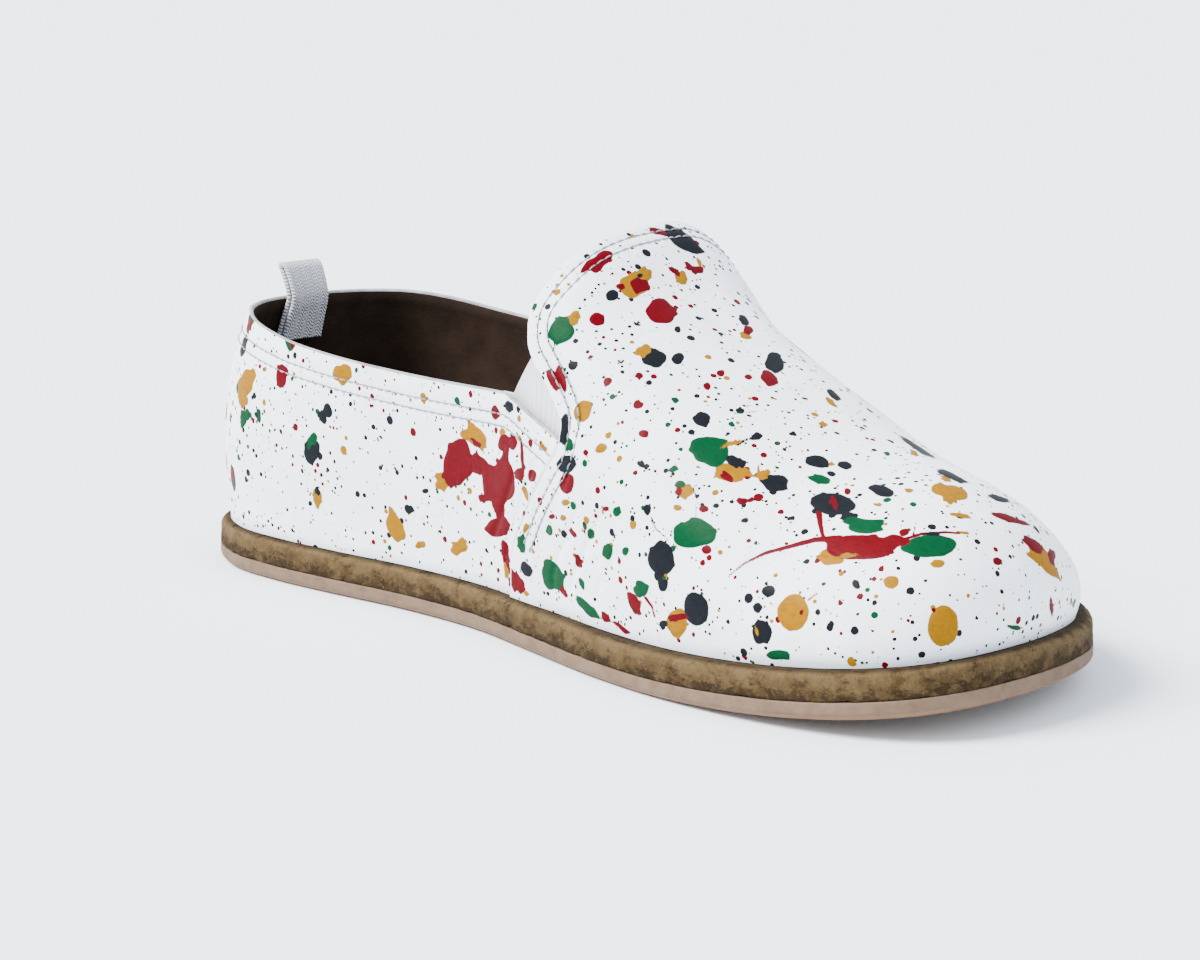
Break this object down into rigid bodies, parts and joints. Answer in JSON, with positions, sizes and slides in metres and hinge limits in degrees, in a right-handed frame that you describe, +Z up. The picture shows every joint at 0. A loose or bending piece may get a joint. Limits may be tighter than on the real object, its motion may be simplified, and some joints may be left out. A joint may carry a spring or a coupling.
{
  "type": "slip-on shoe",
  "caption": "Left-foot slip-on shoe: hollow leather upper with a high rounded instep tab and paint splatter, elastic side gores, heel pull tab, leather midsole and flat rubber outsole.",
  "frame": {"origin": "centre of the shoe's bounding box in plan, on the floor under the outsole", "axes": "+X from heel to toe, +Y to the outer side of the foot, +Z up"},
  "size_m": [0.258, 0.112, 0.0941],
  "materials": {
    "white_leather": "smooth white leather with splattered paint",
    "raw_leather": "raw edge of stacked brown leather",
    "tan_rubber": "matt tan rubber with a fine dotted tread",
    "lining_leather": "unfinished dark lining leather",
    "grey_elastic": "ribbed light grey elastic",
    "grey_webbing": "woven light grey webbing"
  },
  "bodies": {
    "root": {"upper": "white_leather", "midsole": "raw_leather", "outsole": "tan_rubber", "insole": "lining_leather", "gore_medial": "grey_elastic", "gore_lateral": "grey_elastic", "pull_tab": "grey_webbing"}
  },
  "joints": []
}
